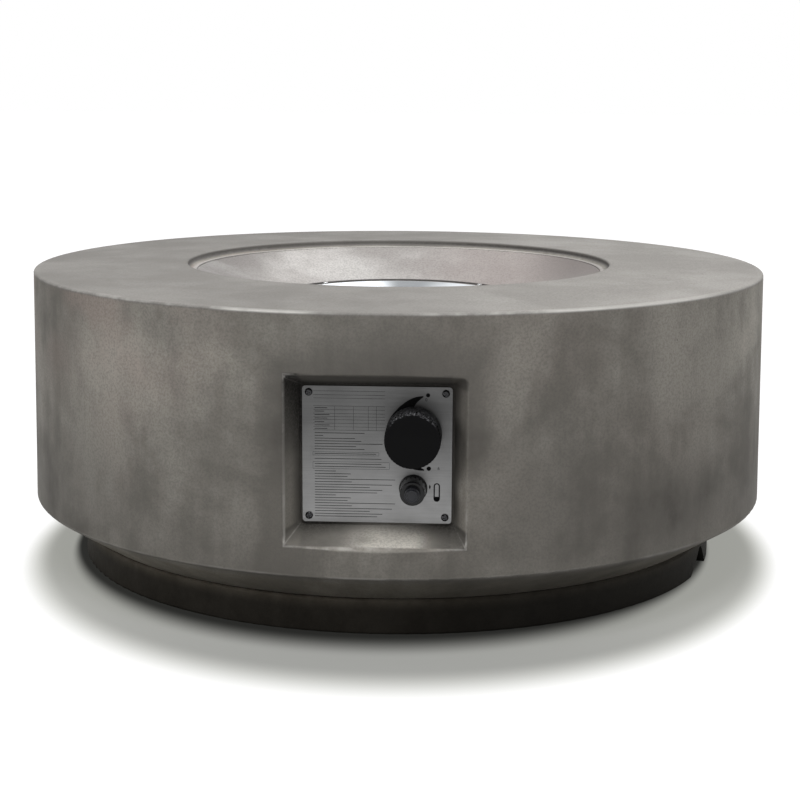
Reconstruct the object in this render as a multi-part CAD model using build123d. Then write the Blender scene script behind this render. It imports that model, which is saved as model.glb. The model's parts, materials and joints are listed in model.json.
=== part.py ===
from build123d import *
from math import cos, pi, radians, sin, tan, atan2, degrees, sqrt
import os

# A round gas fire pit in cast concrete: a drum with a dished top stands on an inset plinth ring.
# Millimetres. The origin is on the floor under the drum's centre, +Z is up, the controls face -Y.

# Drum casting
drum_radius = 406.0
deck_edge_z = 320.5
deck_crown = 3.5
edge_round = 2.5
mouth_reach = 6.0
side_foot_z = 71.0
side_draft = 4.2
side_foot_round = 2.5
wall = 20.0
slab = 22.0
inner_round = 14.0

# Plinth ring and the mortar bed under the drum
plinth_inset = 49.0
plinth_width = 35.0
plinth_height = 35.5
plinth_round = 3.0
bed_height = 1.5
bed_inset = 4.5
notch_azimuth = 71.0
notch_foot = 71.0
notch_top = 8.0
notch_height = 27.0
notch_round = 9.0

# Fire bowl
lip_radius = 237.5
lip_round = 1.5
ledge_drop = 7.5
ledge_width = 10.0
cove_round = 5.0
ledge_line = 1.0
bowl_play = 0.5
bowl_rim = 18.0
shelf_width = 20.0
shelf_thickness = 14.0
dish_drop = 37.5
seat_radius = 134.0
seat_depth = 2.0
seat_width = 7.0

# Control recess
panel_z = 181.0
recess_depth = 40.0
recess_floor_width = 146.0
recess_floor_height = 136.0
recess_mouth_width = 170.0
recess_mouth_height = 163.0
recess_corner = 4.0
recess_mouth_round = 2.0
recess_back = 14.0
window_width = 112.0
window_height = 102.0

# Control plate
plate_width = 141.0
plate_height = 131.0
plate_thickness = 1.5
plate_corner = 3.0
plate_seal = 1.0
screw_spacing_x = 128.6
screw_spacing_z = 119.0
knob_x = 34.7
knob_z = 21.7
igniter_x = 34.3
igniter_z = -31.6

# Knob and valve, lengths along the panel's outward axis
knob_radius = 26.3
knob_taper = 0.6
knob_skirt_radius = 26.4
knob_skirt = 3.0
knob_front = 40.0
knob_gap = 7.0
knob_wall = 3.2
knob_face_wall = 5.0
knob_rib_count = 48
knob_rib_depth = 0.7
knob_rib_band = 11.0
knob_edge_round = 1.6
hub_radius = 9.0
push_travel = 4.5
stem_radius = 4.0
stem_flat = 2.4
stem_reach = 25.0
clip_thickness = 0.5
bonnet_width = 36.0
bonnet_thickness = 4.0
valve_radius = 15.0
valve_length = 54.5
spring_chamber = 15.0
spring_chamber_radius = 9.0
plug_length = 20.0
plug_front_radius = 10.0
plug_back_radius = 8.0
plug_slot_depth = 16.0
tang_width = 3.0
collar_radius = 7.6
collar_thickness = 2.2
rod_radius = 1.6
magnet_radius = 7.9
magnet_length = 8.0
magnet_nut_width = 22.0
magnet_nut_length = 12.0
port_depth = 24.5
port_reach = 30.0
port_radius = 8.0

# Igniter, lengths along the panel's outward axis
flange_radius = 13.4
flange_thickness = 3.0
barrel_radius = 10.8
barrel_length = 46.0
neck_radius = 9.0
neck_reach = 10.5
cell_radius = 5.25
cell_length = 44.5
cell_nub = 1.0
cap_radius = 12.4
cap_taper = 0.8
cap_reach = 22.5
cap_front_wall = 4.5
cap_flute_count = 18
button_radius = 7.4
button_reach = 34.0
button_step = 1.4
button_travel = 3.0
button_flange = 2.0
terminal_radius = 2.5
terminal_length = 8.0
nut_thickness = 5.0

# Burner
pan_sheet = 1.2
pan_play = 1.0
pan_flange = 10.0
well_radius = 88.0
pan_slope_drop = 8.0
well_depth = 32.0
burner_radius = 58.0
burner_tube = 8.0
burner_sheet = 1.2
burner_lift = 13.0
feed_tube = 6.5
port_hole = 1.2
port_count = 36
hub_outer = 15.0
nipple_radius = 10.0
nipple_bore = 7.0
nipple_length = 34.0
nipple_entry = 9.0
lock_nut_width = 32.0
lock_nut_thickness = 8.0
mixer_radius = 14.0
mixer_length = 70.0
mixer_overlap = 12.0
mixer_foot = 6.0
air_slot_height = 20.0
air_slot_width = 8.0
injector_radius = 5.0
injector_tip = 12.0
injector_hex_width = 17.0
injector_hex_length = 12.0
electrode_offset = 14.0
electrode_radius = 77.0
ceramic_radius = 4.0
ceramic_top = 19.0
ceramic_tail = 22.0
spark_wire_radius = 1.0
spark_wire_rise = 8.0
spark_wire_reach = 6.0
thermo_radius = 3.0
thermo_top = 25.0
thermo_tail = 20.0
bracket_sheet = 1.5

# Gas tube joints and inlet
tube_radius = 4.0
stub_radius = 6.0
stub_length = 8.0
nut_width = 17.0
nut_length = 15.0
nut_start = 0.5
inlet_z = 12.0
inlet_setback = 40.0
inlet_bracket_sheet = 2.0
inlet_bracket_width = 44.0
inlet_bracket_edge = 3.0
inlet_shank_radius = 7.8
inlet_relief = 1.0
inlet_thread_radius = 6.6
inlet_thread_length = 18.0
inlet_nut_length = 5.0
inlet_hex_width = 22.0
inlet_hex_length = 10.0
tube_bend = 22.0
outlet_run = 70.0
injector_run = 60.0
supply_run = 62.0
lead_radius = 2.2
lead_bend = 14.0
lead_run = 45.0
lead_rise = 40.0
capillary_radius = 1.3
capillary_bend = 12.0
capillary_run = 50.0
capillary_rise = 34.0

# Fasteners
bolt_count = 6
bolt_azimuth = 41.0
bolt_circle_inset = 23.0
bolt_radius = 4.0
bolt_head_width = 13.0
bolt_head_height = 5.3
bolt_bite = 22.0
washer_radius = 8.0
washer_thickness = 1.6
insert_radius = 6.0
insert_length = 26.0
screw_radius = 1.75
screw_head_radius = 3.6
screw_head_height = 2.3
screw_bite = 9.0
screw_insert_radius = 3.4
screw_insert_length = 11.0
small_screw_radius = 1.5
small_head_radius = 2.9
small_head_height = 1.6
pan_screw_count = 4
pan_screw_bite = 12.0

# Clearances
hole_play = 0.3
fit_play = 0.05
slide_play = 0.1
run_play = 0.3

# Levels and places worked out from the sizes above
crest_z = deck_edge_z + deck_crown
foot_z = plinth_height + bed_height
side_foot_radius = drum_radius + side_draft
ledge_z = crest_z - ledge_drop
dish_z = crest_z - dish_drop
seat_z = dish_z - seat_depth
pan_hole_radius = seat_radius - seat_width
pan_radius = seat_radius - pan_play
pan_slope_radius = pan_radius - pan_flange
ledge_inner = lip_radius - ledge_width
shelf_inner = ledge_inner - shelf_width
shelf_z = ledge_z - ledge_line - bowl_rim
plinth_radius = drum_radius - plinth_inset
plinth_inner = plinth_radius - plinth_width
inlet_bracket_radius = plinth_inner - inlet_setback
bolt_circle = plinth_radius - bolt_circle_inset
recess_floor_y = -(drum_radius - recess_depth)
plate_front = plate_seal + plate_thickness
seal_floor = -plate_front
back_face = seal_floor - recess_back
pan_floor_z = seat_z - pan_slope_drop - well_depth
burner_z = pan_floor_z + pan_sheet + burner_lift
panel = Plane(
    origin=(0, recess_floor_y - plate_front, panel_z), x_dir=(1, 0, 0), z_dir=(0, -1, 0)
)


def turned(points, rounds=()):
    """A solid of revolution about Z from (radius, height) corners, with some corners rounded."""
    face = make_face(Polyline(*points, close=True))
    for corner, radius in rounds:
        face = fillet(face.vertices().sort_by_distance((*corner, 0))[0], radius)
    return revolve(Plane.XZ * face, Axis.Z)


def rod(radius, low, high):
    """A round bar along Z between two heights."""
    return Pos(0, 0, low) * Cylinder(radius, high - low, align=(Align.CENTER, Align.CENTER, Align.MIN))


def tube(outer, inner, low, high):
    """A round sleeve along Z between two heights."""
    return rod(outer, low, high) - rod(inner, low, high)


def hexagon(across, low, high):
    """A hexagonal bar along Z, by its width across flats."""
    return Pos(0, 0, low) * extrude(RegularPolygon(across / 2, 6, major_radius=False), high - low)


def slab_at(width, height, low, high, corner=0):
    """A rectangular plate square to Z, with rounded corners."""
    sketch = RectangleRounded(width, height, corner) if corner else Rectangle(width, height)
    return Pos(0, 0, low) * extrude(sketch, high - low)


def around(shape, count, start=0.0):
    """Copies of a shape spaced evenly about Z."""
    return [Rot(0, 0, start + 360 * i / count) * shape for i in range(count)]


def on_panel(shape, x=0.0, z=0.0):
    """Moves a shape made on the panel's outward axis to its place on the control plate."""
    return panel.location * Pos(x, z, 0) * shape


def panel_point(x, z, out):
    """A point given in the control plate's own directions."""
    return panel.from_local_coords(Vector(x, z, out))


def direction(azimuth):
    """The outward direction at an angle from the front, counted towards +X."""
    return Vector(sin(radians(azimuth)), -cos(radians(azimuth)), 0)


def bent_tube(points, radius, bend):
    """A round tube along straight runs joined by tangent bends."""
    path = FilletPolyline(*points, radius=bend)
    start = Plane(origin=path @ 0, z_dir=path % 0)
    return sweep(start * Circle(radius), path=path)


def coil(radius, wire, low, high, turns):
    """A helical spring standing between two heights."""
    path = Pos(0, 0, low + wire) * Helix((high - low - 2 * wire) / turns, high - low - 2 * wire, radius)
    start = Plane(origin=path @ 0, z_dir=path % 0)
    return sweep(start * Circle(wire), path=path)


def save(name, shape):
    """Writes one node; a list becomes a group of separate solids."""
    solids = Compound(children=list(shape)) if isinstance(shape, (list, tuple)) else shape
    export_step(solids, f"parts/{name}.step")


# Drum casting

def drum_section():
    """The drum's section: foot, chamfer, side, crowned deck, lip, cove, ledge, shelf and underside."""
    rise = side_foot_z - foot_z
    run = side_foot_radius - plinth_radius
    slope = sqrt(rise * rise + run * run)
    land = (plinth_radius - wall * rise / slope, foot_z + wall * run / slope)
    inner = drum_radius - wall
    inner_foot = side_foot_radius - wall
    turn_z = land[1] + (inner_foot - land[0]) * rise / run
    shelf_foot = shelf_z - shelf_thickness
    points = [
        (plinth_inner, foot_z),
        (plinth_radius, foot_z),
        (side_foot_radius, side_foot_z),
        (drum_radius, deck_edge_z),
        (lip_radius, crest_z),
        (lip_radius, ledge_z),
        (ledge_inner, ledge_z),
        (ledge_inner, shelf_z),
        (shelf_inner, shelf_z),
        (shelf_inner, shelf_foot),
        (lip_radius + ledge_width, shelf_foot),
        (lip_radius + 3 * ledge_width, deck_edge_z - slab),
        (inner, deck_edge_z - slab),
        (inner_foot, turn_z),
        land,
        (plinth_inner, land[1]),
    ]
    rounds = [
        ((side_foot_radius, side_foot_z), side_foot_round),
        ((drum_radius, deck_edge_z), edge_round),
        ((lip_radius, crest_z), lip_round),
        ((lip_radius, ledge_z), cove_round),
        ((inner, deck_edge_z - slab), inner_round),
    ]
    return points, rounds, land[1]


drum_points, drum_rounds, land_z = drum_section()


def recess_pocket():
    """The splayed pocket of the controls, from its floor to beyond the drum's side."""
    side_out = sqrt(drum_radius**2 - (recess_mouth_width / 2) ** 2) + recess_floor_y
    splay_x = (recess_mouth_width - recess_floor_width) / side_out
    splay_z = (recess_mouth_height - recess_floor_height) / recess_depth
    reach = recess_depth + mouth_reach
    floor = RectangleRounded(recess_floor_width, recess_floor_height, recess_corner)
    mouth = RectangleRounded(
        recess_floor_width + splay_x * reach, recess_floor_height + splay_z * reach, 2 * recess_corner
    )
    return on_panel(loft([Pos(0, 0, seal_floor) * floor, Pos(0, 0, seal_floor + reach) * mouth]))


def recess_box():
    """The solid block behind the drum's side that the pocket is cut into."""
    block = slab_at(
        recess_mouth_width + 2 * recess_back,
        recess_mouth_height + 2 * recess_back,
        back_face,
        back_face + recess_depth + recess_back,
    )
    return on_panel(block) & rod(drum_radius - wall / 2, 0, crest_z)


def plate_corners():
    """The four screw places of the control plate."""
    half_x, half_z = screw_spacing_x / 2, screw_spacing_z / 2
    return [(x, z) for x in (-half_x, half_x) for z in (-half_z, half_z)]


def drum_casting():
    body = turned(drum_points, drum_rounds) + recess_box()
    body -= recess_pocket()
    mouth = [
        edge
        for edge in body.edges()
        if abs(edge.center().X) < recess_mouth_width * 0.6
        and edge.center().Y < -sqrt(drum_radius**2 - (recess_mouth_width / 2) ** 2) + mouth_reach
        and abs(edge.center().Z - panel_z) < recess_mouth_height * 0.6
        and min(Vector(v.X, v.Y, 0).length for v in edge.vertices()) > drum_radius - 0.5
    ]
    body = fillet(mouth, recess_mouth_round)
    body -= on_panel(slab_at(window_width, window_height, back_face - 1, 0, recess_corner))
    for x, z in plate_corners():
        body -= on_panel(rod(screw_insert_radius + fit_play, seal_floor - screw_insert_length, 0), x, z)
    for hole in around(
        Pos(0, -bolt_circle, 0) * rod(bolt_radius + hole_play, 0, land_z + 1), bolt_count, bolt_azimuth
    ):
        body -= hole
    for place in inlet_screw_places():
        body -= place * rod(screw_radius + fit_play, land_z - screw_bite, land_z + 1)
    return body


def fire_bowl():
    """The dish: a shallow cone ring whose rim stands on the drum's shelf and whose seat takes the pan."""
    rim = ledge_inner - bowl_play
    body = turned(
        [
            (rim, shelf_z),
            (rim, ledge_z - ledge_line),
            (seat_radius, dish_z),
            (seat_radius, seat_z),
            (pan_hole_radius, seat_z),
            (pan_hole_radius, dish_z - slab),
            (shelf_inner - bowl_play, shelf_z),
        ]
    )
    for place in pan_screw_places():
        body -= place * rod(screw_radius + fit_play, seat_z - pan_screw_bite, seat_z + 1)
    return body


def plinth_ring():
    ring = turned(
        [
            (plinth_inner, 0),
            (plinth_radius, 0),
            (plinth_radius, plinth_height),
            (plinth_inner, plinth_height),
        ],
        [((plinth_radius, 0), plinth_round), ((plinth_radius, plinth_height), plinth_round)],
    )
    out = direction(notch_azimuth)
    side = Vector(0, 0, 1).cross(out)
    spread = notch_foot / 2 + 3 * notch_round
    outline = make_face(
        Polyline(
            (-spread, -notch_round),
            (-spread, 0),
            (-notch_foot / 2, 0),
            (-notch_top / 2, notch_height),
            (notch_top / 2, notch_height),
            (notch_foot / 2, 0),
            (spread, 0),
            (spread, -notch_round),
            close=True,
        )
    )
    for x in (-notch_foot / 2, notch_foot / 2):
        outline = fillet(outline.vertices().sort_by_distance((x, 0, 0))[0], notch_round)
    ring -= extrude(Plane(origin=(0, 0, 0), x_dir=side, z_dir=out) * outline, drum_radius)
    for hole in around(
        Pos(0, -bolt_circle, 0) * rod(insert_radius + fit_play, plinth_height - insert_length, foot_z),
        bolt_count,
        bolt_azimuth,
    ):
        ring -= hole
    return ring


def mortar_bed():
    bed = tube(plinth_radius - bed_inset, plinth_inner + bed_inset, plinth_height, foot_z)
    for hole in around(
        Pos(0, -bolt_circle, 0) * rod(bolt_radius + hole_play, 0, foot_z + 1), bolt_count, bolt_azimuth
    ):
        bed -= hole
    return bed


def plinth_bolt():
    head_z = land_z + washer_thickness
    bolt = rod(bolt_radius, foot_z - bolt_bite, head_z) + hexagon(
        bolt_head_width, head_z, head_z + bolt_head_height
    )
    return Pos(0, -bolt_circle, 0) * bolt


def plinth_washer():
    return Pos(0, -bolt_circle, 0) * tube(
        washer_radius, bolt_radius + hole_play, land_z, land_z + washer_thickness
    )


def plinth_insert():
    sleeve = tube(insert_radius, bolt_radius + fit_play, plinth_height - insert_length, plinth_height)
    return Pos(0, -bolt_circle, 0) * sleeve


# Control plate and its fixings

def valve_screw_places():
    return [(knob_x - bonnet_width / 3, knob_z), (knob_x + bonnet_width / 3, knob_z)]


def control_plate():
    plate = slab_at(plate_width, plate_height, -plate_thickness, 0, plate_corner)
    for x, z in plate_corners():
        plate -= Pos(x, z) * rod(screw_radius + hole_play, -plate_front, 1)
    for x, z in valve_screw_places():
        plate -= Pos(x, z) * rod(small_screw_radius + hole_play, -plate_front, 1)
    plate -= Pos(knob_x, knob_z) * rod(stem_radius + 4 * hole_play, -plate_front, 1)
    plate -= Pos(igniter_x, igniter_z) * rod(barrel_radius + hole_play, -plate_front, 1)
    return on_panel(plate)


def plate_gasket():
    edge = (recess_floor_width - plate_width) / 2
    gasket = slab_at(plate_width - edge, plate_height - edge, seal_floor, -plate_thickness, plate_corner)
    gasket -= slab_at(window_width, window_height, seal_floor - 1, 0, recess_corner)
    for x, z in plate_corners():
        gasket -= Pos(x, z) * rod(screw_insert_radius + hole_play, seal_floor - 1, 0)
    return on_panel(gasket)


def pan_head_screw(radius, head_radius, head_height, length):
    """A domed screw with a cross recess; its head seats at zero and its shank points down."""
    dome = turned(
        [
            (0, -length),
            (radius, -length),
            (radius, 0),
            (head_radius, 0),
            (head_radius, head_height),
            (0, head_height),
        ],
        [((head_radius, head_height), head_height * 0.75)],
    )
    bar = Pos(0, 0, head_height * 0.8) * Box(head_radius * 1.1, head_radius * 0.24, head_height * 0.9)
    return dome - bar - Rot(0, 0, 90) * bar


def plate_screws():
    screw = pan_head_screw(screw_radius, screw_head_radius, screw_head_height, plate_front + screw_bite)
    return [on_panel(Rot(0, 0, 25 + 40 * i) * screw, x, z) for i, (x, z) in enumerate(plate_corners())]


def plate_inserts():
    sleeve = tube(
        screw_insert_radius, screw_radius + fit_play, seal_floor - screw_insert_length, seal_floor
    )
    return [on_panel(sleeve, x, z) for x, z in plate_corners()]


def valve_screws():
    screw = pan_head_screw(
        small_screw_radius, small_head_radius, small_head_height, plate_thickness + bonnet_thickness
    )
    return [on_panel(screw, x, z) for x, z in valve_screw_places()]


# Gas valve, worked along the panel's outward axis from the plate's front

bonnet_back = -plate_thickness - bonnet_thickness
plug_front = bonnet_back - spring_chamber
plug_back = plug_front - plug_length
valve_back = bonnet_back - valve_length
collar_front = bonnet_back - fit_play
collar_back = collar_front - collar_thickness
tang_end = plug_front - plug_slot_depth + push_travel + 2 * run_play
rod_end = plug_back - tube_radius - 2 * run_play
chamber_front = plug_back - tube_radius
port_out = bonnet_back - port_depth
flat_gap = clip_thickness + 2 * fit_play


def valve_bonnet():
    plate = slab_at(bonnet_width, bonnet_width, bonnet_back, -plate_thickness, bonnet_width / 6)
    plate -= rod(stem_radius + fit_play, bonnet_back - 1, 0)
    for x, z in valve_screw_places():
        plate -= Pos(x - knob_x, z - knob_z) * rod(small_screw_radius + fit_play, bonnet_back - 1, 0)
    return on_panel(plate, knob_x, knob_z)


def port(turn):
    """A threaded gas port on the valve's side, ready for a flare nut."""
    boss = rod(port_radius, 0, port_reach) + rod(stub_radius, 0, port_reach + stub_length)
    return Pos(0, 0, port_out) * Rot(0, turn, 0) * boss


def plug_cone(play):
    """The taper of the plug, larger by a play for its seat."""
    return turned(
        [
            (0, plug_back),
            (plug_back_radius + play, plug_back),
            (plug_front_radius + play, plug_front),
            (0, plug_front),
        ]
    )


def valve_body():
    body = rod(valve_radius, valve_back, bonnet_back) + port(-90) + port(90)
    body -= plug_cone(fit_play)
    body -= rod(spring_chamber_radius + 1.0, plug_front, bonnet_back + 1)
    body -= rod(rod_radius + fit_play, valve_back, plug_back + 1)
    body -= rod(magnet_radius + fit_play, valve_back - 1, chamber_front)
    for turn in (-90, 90):
        passage = rod(tube_radius - 1, plug_back_radius, port_reach + stub_length + 1)
        body -= Pos(0, 0, port_out) * Rot(0, turn, 0) * passage
    return on_panel(body, knob_x, knob_z)


def valve_plug():
    plug = plug_cone(0.0)
    slot = Pos(0, 0, plug_front - plug_slot_depth / 2) * Box(
        2 * stem_radius + 2 * run_play, tang_width + 2 * fit_play, plug_slot_depth
    )
    plug -= slot
    plug -= rod(rod_radius + fit_play, plug_back - 1, plug_front)
    plug -= Pos(0, 0, port_out) * Rot(0, 90, 0) * rod(tube_radius - 1, stem_radius + 1, valve_radius)
    return on_panel(plug, knob_x, knob_z)


def valve_stem():
    stem = rod(stem_radius, collar_back, stem_reach) + rod(collar_radius, collar_back, collar_front)
    tang = Box(2 * stem_radius, tang_width, collar_back - tang_end, align=(Align.CENTER, Align.CENTER, Align.MIN))
    stem += Pos(0, 0, tang_end) * tang & rod(stem_radius, tang_end, collar_back)
    flat_length = stem_reach - knob_gap
    flat = Box(2 * stem_radius, stem_radius, flat_length, align=(Align.CENTER, Align.MIN, Align.MIN))
    stem -= Pos(0, stem_flat, knob_gap) * flat
    return on_panel(stem, knob_x, knob_z)


def valve_spring():
    spring = coil((stem_radius + collar_radius) / 2 + 0.3, 0.7, plug_front, collar_back, 5)
    return on_panel(spring, knob_x, knob_z)


def push_rod():
    return on_panel(rod(rod_radius, rod_end, tang_end), knob_x, knob_z)


def safety_magnet():
    can = rod(magnet_radius, valve_back, valve_back + magnet_length)
    can += rod(magnet_radius * 0.75, valve_back + magnet_length, valve_back + magnet_length + 2)
    return on_panel(can, knob_x, knob_z)


def magnet_nut():
    nut = hexagon(magnet_nut_width, valve_back - magnet_nut_length * 0.6, valve_back)
    nut += rod(magnet_radius, valve_back - magnet_nut_length, valve_back)
    nut -= rod(capillary_radius + fit_play, valve_back - magnet_nut_length - 1, valve_back)
    return on_panel(nut, knob_x, knob_z)


# Knob

def control_knob():
    back, front = knob_gap, knob_front
    face_back = front - knob_face_wall
    shell = turned(
        [
            (0, face_back),
            (knob_radius - knob_wall, face_back),
            (knob_radius - knob_wall, back),
            (knob_skirt_radius, back),
            (knob_skirt_radius, back + knob_skirt),
            (knob_radius, front - knob_rib_band),
            (knob_radius - knob_taper, front),
            (0, front),
        ],
        [((knob_radius - knob_taper, front), knob_edge_round)],
    )
    hub_back = back + 1.0
    hub = rod(hub_radius, hub_back, face_back)
    bore = rod(stem_radius + fit_play, hub_back - 1, stem_reach + run_play)
    flat = Box(2 * hub_radius, hub_radius, front, align=(Align.CENTER, Align.MIN, Align.MIN))
    bore -= Pos(0, stem_flat + flat_gap, hub_back) * flat
    knob = shell + hub - bore
    groove = Pos(knob_radius - knob_taper / 2, 0, 0) * rod(
        knob_rib_depth, front - knob_rib_band, front + 1
    )
    knob -= around(groove, knob_rib_count)
    return on_panel(knob, knob_x, knob_z)


def knob_clip():
    hub_back = knob_gap + 1.0
    strip = Box(
        2 * stem_radius * 0.64,
        clip_thickness,
        stem_reach - hub_back,
        align=(Align.CENTER, Align.MIN, Align.MIN),
    )
    return on_panel(Pos(0, stem_flat + fit_play, hub_back) * strip, knob_x, knob_z)


# Igniter

cell_back = neck_reach - 2.5 - cell_nub - cell_length
cap_foot = flange_thickness + run_play
cap_chamber_end = cap_reach - cap_front_wall
button_flange_front = cap_chamber_end - run_play
button_flange_back = button_flange_front - button_flange


def igniter_body():
    body = rod(flange_radius, 0, flange_thickness) + rod(barrel_radius, -barrel_length, 0)
    body += rod(neck_radius, 0, neck_reach)
    body -= rod(cell_radius + run_play, cell_back, neck_reach + 1)
    rim = flange_thickness * 0.4
    body = fillet(body.edges().filter_by(GeomType.CIRCLE).sort_by_distance(
        Vector(flange_radius, 0, flange_thickness))[0], rim)
    body += rod(terminal_radius, -barrel_length - terminal_length, -barrel_length)
    return on_panel(body, igniter_x, igniter_z)


def igniter_nut():
    nut = hexagon(2 * flange_radius, -plate_thickness - nut_thickness, -plate_thickness)
    nut -= rod(barrel_radius + fit_play, -plate_front - nut_thickness, 0)
    return on_panel(nut, igniter_x, igniter_z)


def igniter_cell():
    cell = rod(cell_radius, cell_back, cell_back + cell_length)
    cell += rod(cell_radius / 3, cell_back + cell_length, cell_back + cell_length + cell_nub)
    return on_panel(cell, igniter_x, igniter_z)


def igniter_cap():
    front_radius = cap_radius - cap_taper
    cap = turned(
        [
            (neck_radius + run_play, cap_foot),
            (cap_radius, cap_foot),
            (front_radius, cap_reach),
            (button_radius + slide_play, cap_reach),
            (button_radius + slide_play, cap_chamber_end),
            (neck_radius + run_play, cap_chamber_end),
        ],
        [((front_radius, cap_reach), cap_taper * 1.8)],
    )
    flute = Pos(cap_radius + cap_taper / 2, 0, 0) * rod(cap_taper * 1.25, cap_foot + 1.5, cap_reach - 2.5)
    cap -= around(flute, cap_flute_count)
    return on_panel(cap, igniter_x, igniter_z)


def igniter_button():
    step = button_radius - button_step
    shoulder = button_reach - 4.0
    button = turned(
        [
            (0, button_flange_back),
            (neck_radius - run_play, button_flange_back),
            (neck_radius - run_play, button_flange_front),
            (button_radius, button_flange_front),
            (button_radius, shoulder),
            (step, shoulder),
            (step, button_reach),
            (step - button_step, button_reach),
            (step - button_step, button_reach - 0.7),
            (0, button_reach - 0.7),
        ],
        [((button_radius, shoulder), 0.8), ((step, button_reach), 0.8)],
    )
    return on_panel(button, igniter_x, igniter_z)


def igniter_spring():
    spring = coil(cell_radius * 0.55, 0.4, cell_back + cell_length, button_flange_back, 4)
    return on_panel(spring, igniter_x, igniter_z)


# Burner

def pan_screw_places():
    radius = (pan_radius + pan_hole_radius) / 2
    return around(Pos(0, -radius, 0), pan_screw_count, 180 / pan_screw_count)


def electrode_place(side):
    """Where the spark electrode (+1) and the thermocouple (-1) stand in the well."""
    x = side * electrode_offset
    return x, -sqrt(electrode_radius**2 - electrode_offset**2)


def burner_pan():
    top = seat_z + pan_sheet
    slope_low = seat_z - pan_slope_drop
    well = well_radius + pan_sheet
    pan = turned(
        [
            (0, pan_floor_z),
            (well, pan_floor_z),
            (well, slope_low),
            (pan_slope_radius, seat_z),
            (pan_radius, seat_z),
            (pan_radius, top),
            (pan_slope_radius, top),
            (well_radius, slope_low + pan_sheet),
            (well_radius, pan_floor_z + pan_sheet),
            (0, pan_floor_z + pan_sheet),
        ]
    )
    pan -= rod(nipple_radius + hole_play, pan_floor_z - 1, pan_floor_z + 2 * pan_sheet)
    for side in (-1, 1):
        x, y = electrode_place(side)
        pan -= Pos(x, y) * rod(ceramic_radius + hole_play, pan_floor_z - 1, pan_floor_z + 2 * pan_sheet)
    for x, y in bracket_screw_places():
        pan -= Pos(x, y) * rod(small_screw_radius + fit_play, pan_floor_z - 1, pan_floor_z + 2 * pan_sheet)
    for place in pan_screw_places():
        pan -= place * rod(screw_radius + hole_play, seat_z - 1, top + 1)
    return pan


def pan_screws():
    screw = pan_head_screw(
        screw_radius, screw_head_radius * 0.8, screw_head_height * 0.7, pan_sheet + pan_screw_bite - 1
    )
    return [place * Pos(0, 0, seat_z + pan_sheet) * screw for place in pan_screw_places()]


def burner_ring():
    """A hollow ring with a feed bar across it, a central hub and a circle of gas ports."""
    floor_top = pan_floor_z + pan_sheet
    hub_top = burner_z + burner_tube
    bar = Pos(0, 0, burner_z) * Rot(0, 0, 45) * Rot(0, 90, 0)
    outer = Pos(0, 0, burner_z) * Torus(burner_radius, burner_tube)
    outer += bar * Cylinder(feed_tube, 2 * burner_radius)
    outer += rod(hub_outer, floor_top, hub_top)
    inner = Pos(0, 0, burner_z) * Torus(burner_radius, burner_tube - burner_sheet)
    inner += bar * Cylinder(feed_tube - burner_sheet, 2 * burner_radius)
    inner += rod(nipple_bore, floor_top - 1, hub_top - burner_sheet)
    ring = outer - inner
    ring -= rod(nipple_radius + fit_play, floor_top - 1, floor_top + nipple_entry - pan_sheet)
    hole = Pos(burner_radius, 0, burner_z) * rod(port_hole, 0, burner_tube + 1)
    ring -= around(hole, port_count, 180 / port_count)
    return ring


def burner_nipple():
    top = pan_floor_z + nipple_entry
    return tube(nipple_radius, nipple_bore, top - nipple_length, top)


def burner_lock_nut():
    nut = hexagon(lock_nut_width, pan_floor_z - lock_nut_thickness, pan_floor_z)
    return nut - rod(nipple_radius + fit_play, pan_floor_z - lock_nut_thickness - 1, pan_floor_z + 1)


nipple_foot = pan_floor_z + nipple_entry - nipple_length
mixer_top = nipple_foot + mixer_overlap
mixer_base = mixer_top - mixer_length


def air_mixer():
    """The mixing tube under the burner, with two air windows above the injector."""
    body = rod(mixer_radius, mixer_base, mixer_top)
    body -= rod(nipple_bore, mixer_base + mixer_foot, mixer_top)
    body -= rod(nipple_radius + fit_play, nipple_foot, mixer_top + 1)
    body -= rod(injector_radius + fit_play, mixer_base - 1, mixer_base + mixer_foot + 1)
    window = Pos(0, 0, mixer_base + mixer_foot + air_slot_height / 2 + 4) * Box(
        4 * mixer_radius, air_slot_width, air_slot_height
    )
    body -= window
    return body


injector_foot = mixer_base - injector_hex_length


def injector():
    body = rod(injector_radius, mixer_base, mixer_base + injector_tip)
    body += hexagon(injector_hex_width, injector_foot, mixer_base)
    body += rod(stub_radius, injector_foot - stub_length, injector_foot)
    body -= rod(1.0, injector_foot - stub_length - 1, mixer_base + injector_tip + 1)
    return body


def electrode_bracket():
    """A strip on the well's floor that holds the electrode and the thermocouple upright."""
    base = pan_floor_z + pan_sheet
    _, y = electrode_place(1)
    strip = Pos(0, y) * slab_at(4.2 * electrode_offset, 3.4 * ceramic_radius, base, base + bracket_sheet, 3)
    for side in (-1, 1):
        x, y = electrode_place(side)
        radius = ceramic_radius if side > 0 else thermo_radius
        strip -= Pos(x, y) * rod(radius + fit_play, base - 1, base + 2 * bracket_sheet)
    for x, y in bracket_screw_places():
        strip -= Pos(x, y) * rod(small_screw_radius + fit_play, base - 1, base + 2 * bracket_sheet)
    return strip


def bracket_screw_places():
    _, y = electrode_place(1)
    return [(-1.72 * electrode_offset, y), (1.72 * electrode_offset, y)]


def bracket_screws():
    seat = pan_floor_z + pan_sheet + bracket_sheet
    screw = pan_head_screw(
        small_screw_radius, small_head_radius, small_head_height, bracket_sheet + 3 * pan_sheet
    )
    return [Pos(x, y, seat) * screw for x, y in bracket_screw_places()]


def spark_ceramic():
    x, y = electrode_place(1)
    low, high = pan_floor_z - ceramic_tail, pan_floor_z + ceramic_top
    body = turned(
        [(0, low), (ceramic_radius, low), (ceramic_radius, high), (0, high)],
        [((ceramic_radius, high), ceramic_radius * 0.4)],
    )
    return Pos(x, y) * body


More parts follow.
